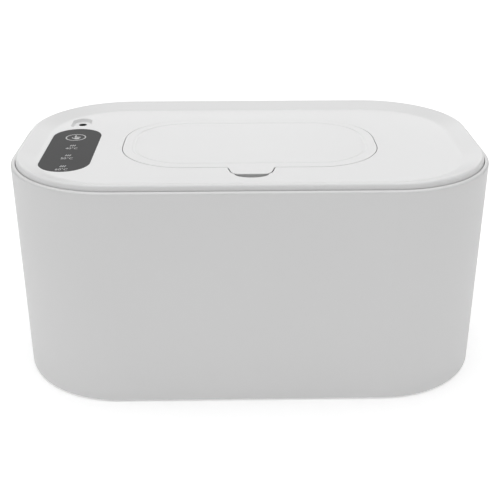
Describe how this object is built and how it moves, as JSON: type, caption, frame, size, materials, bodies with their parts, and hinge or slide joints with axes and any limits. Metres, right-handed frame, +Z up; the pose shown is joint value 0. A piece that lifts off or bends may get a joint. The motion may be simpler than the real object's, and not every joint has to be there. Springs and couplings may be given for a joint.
{
  "type": "baby wipe warmer",
  "caption": "Rounded tub with a lift-off heated lid, a sunk control panel, a flush flip-up hatch and a sprung plate inside.",
  "frame": {"origin": "on the table, under the centre of the tub", "axes": "+X along the tub's length, away from the control panel; +Y to the hatch's hinge side (the back); +Z up"},
  "size_m": [0.245, 0.148, 0.1187],
  "materials": {
    "shell_white": "satin moulded ABS, white",
    "lid_white": "satin moulded ABS, white",
    "liner_white": "matt moulded polypropylene, white",
    "foam_grey": "closed-cell foam sheet",
    "silicone_grey": "soft silicone, light grey",
    "foot_grey": "soft silicone, grey",
    "steel": "zinc-plated steel",
    "spring_steel": "stainless spring wire",
    "heater_aluminium": "plain rolled aluminium",
    "film_amber": "polyimide film",
    "board_green": "solder-masked board",
    "part_black": "moulded black plastic",
    "part_white": "nylon, natural",
    "can_silver": "drawn aluminium can",
    "glass_bead": "epoxy-coated bead",
    "led_lens": "clear LED lens",
    "guide_clear": "clear acrylic",
    "panel_grey": "smoked panel, dark grey",
    "pin_brass": "nickel-plated brass"
  },
  "bodies": {
    "tub": {"outer_shell": "shell_white", "inner_tub": "liner_white", "insulation_wrap": "foam_grey", "base_plate": "liner_white", "base_screws": "steel", "feet": "foot_grey"},
    "lift": {"lift_plate": "liner_white", "lift_springs": "spring_steel"},
    "lid": {"lid_shell": "lid_white", "lid_tray": "liner_white", "lid_screws": "steel", "lid_gasket": "silicone_grey", "outlet_frame": "lid_white", "hinge_pins": "steel", "wipe_outlet": "silicone_grey", "heating_plate": "heater_aluminium", "heater_film": "film_amber", "thermistor": "glass_bead", "thermal_fuse": "can_silver", "control_board": "board_green", "board_screws": "steel", "heater_connector": "part_white", "controller_chip": "part_black", "capacitor": "can_silver", "indicator_leds": "led_lens", "light_guide": "guide_clear", "touch_spring": "spring_steel", "control_panel": "panel_grey", "power_jack": "part_black", "power_jack_pin": "pin_brass"},
    "hatch": {"hatch_cover": "lid_white", "hatch_inner_cover": "liner_white", "hatch_seal": "silicone_grey"}
  },
  "joints": [
    {"name": "lid_lift", "type": "slide", "parent": "tub", "child": "lid", "axis": [0, 0, 1], "range_m": [0, 0.06]},
    {"name": "hatch_hinge", "type": "hinge", "parent": "lid", "child": "hatch", "pos_m": [0, 0.0465, 0.11145], "axis": [-1, 0, 0], "range_deg": [0, 105]},
    {"name": "plate_lift", "type": "slide", "parent": "tub", "child": "lift", "axis": [0, 0, 1], "range_m": [-0.05, 0], "stiffness_N_per_m": 100, "springref_m": 0.03, "deforming": ["lift_springs"]}
  ]
}
